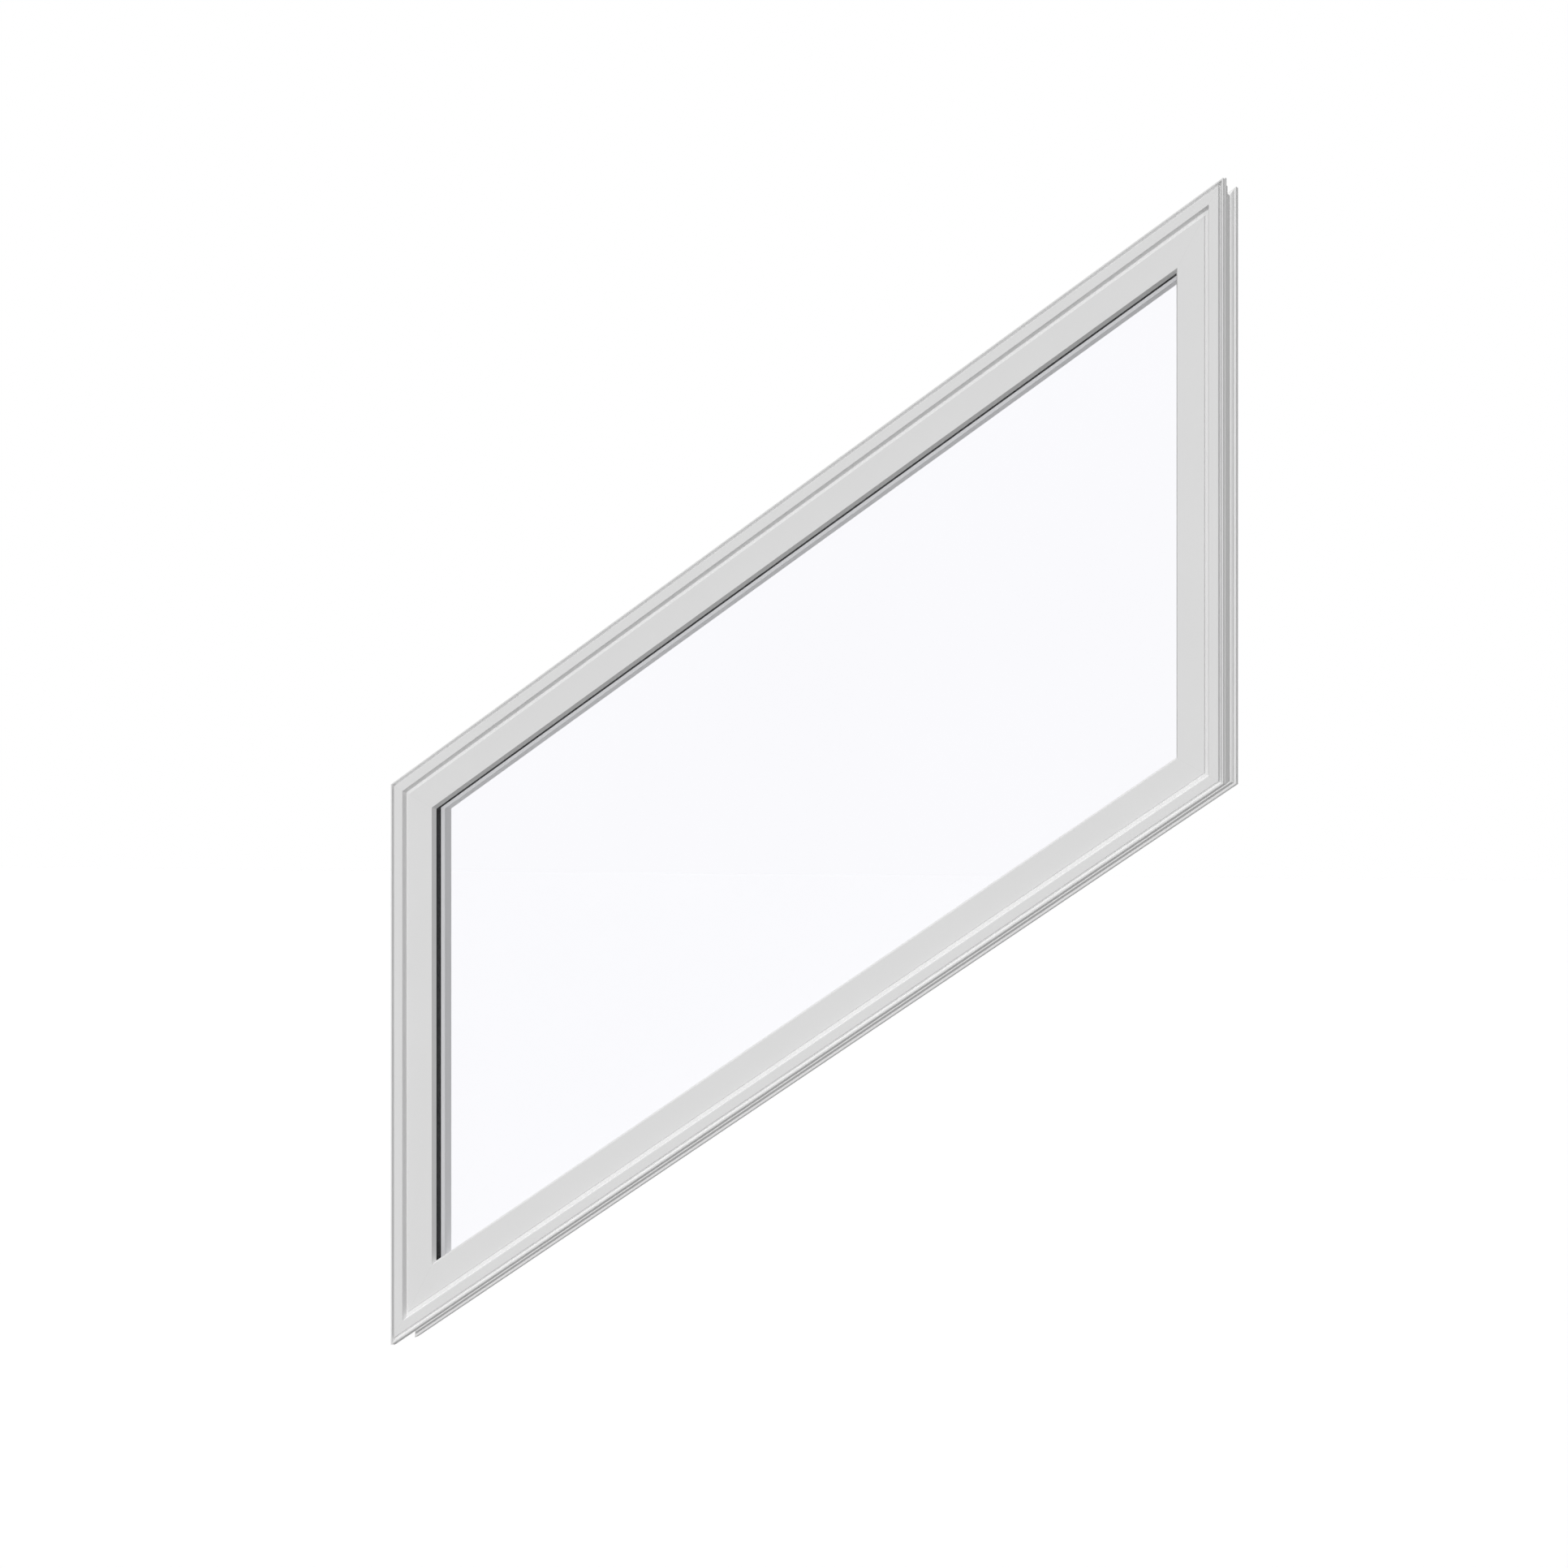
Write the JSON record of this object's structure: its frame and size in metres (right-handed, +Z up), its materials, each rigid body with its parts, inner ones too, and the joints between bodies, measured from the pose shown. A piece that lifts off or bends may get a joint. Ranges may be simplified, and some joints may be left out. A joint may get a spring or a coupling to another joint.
{
  "type": "fixed parallelogram window",
  "caption": "Fixed parallelogram window with upright jambs, a head and sill that rise to the right, a vinyl frame and sash, and a sealed double-glazed unit.",
  "frame": {"origin": "on the flat rear face of the frame, in the middle of the sill's length and of the face's 32 mm width", "axes": "+Z up along the jambs, -Y towards the outside (the front in the picture), +X to the right seen from outside, where the head and sill are higher"},
  "size_m": [1.08, 0.09, 1.44],
  "materials": {
    "frame_vinyl": "smooth white vinyl, slightly satin",
    "sash_vinyl": "smooth white vinyl, slightly satin",
    "bead_vinyl": "smooth white vinyl, slightly satin",
    "gasket_rubber": "black glazing rubber",
    "spacer_black": "black warm-edge spacer",
    "clear_glass": "clear float glass"
  },
  "bodies": {
    "root": {"frame_head": "frame_vinyl", "frame_sill": "frame_vinyl", "frame_jamb_left": "frame_vinyl", "frame_jamb_right": "frame_vinyl", "sash_head": "sash_vinyl", "sash_sill": "sash_vinyl", "sash_jamb_left": "sash_vinyl", "sash_jamb_right": "sash_vinyl", "glazing_bead_head": "bead_vinyl", "glazing_bead_sill": "bead_vinyl", "glazing_bead_jamb_left": "bead_vinyl", "glazing_bead_jamb_right": "bead_vinyl", "front_gasket_head": "gasket_rubber", "front_gasket_sill": "gasket_rubber", "front_gasket_jamb_left": "gasket_rubber", "front_gasket_jamb_right": "gasket_rubber", "rear_gasket_head": "gasket_rubber", "rear_gasket_sill": "gasket_rubber", "rear_gasket_jamb_left": "gasket_rubber", "rear_gasket_jamb_right": "gasket_rubber", "spacer_bar_head": "spacer_black", "spacer_bar_sill": "spacer_black", "spacer_bar_jamb_left": "spacer_black", "spacer_bar_jamb_right": "spacer_black", "glass_outer": "clear_glass", "glass_inner": "clear_glass"}
  },
  "joints": []
}
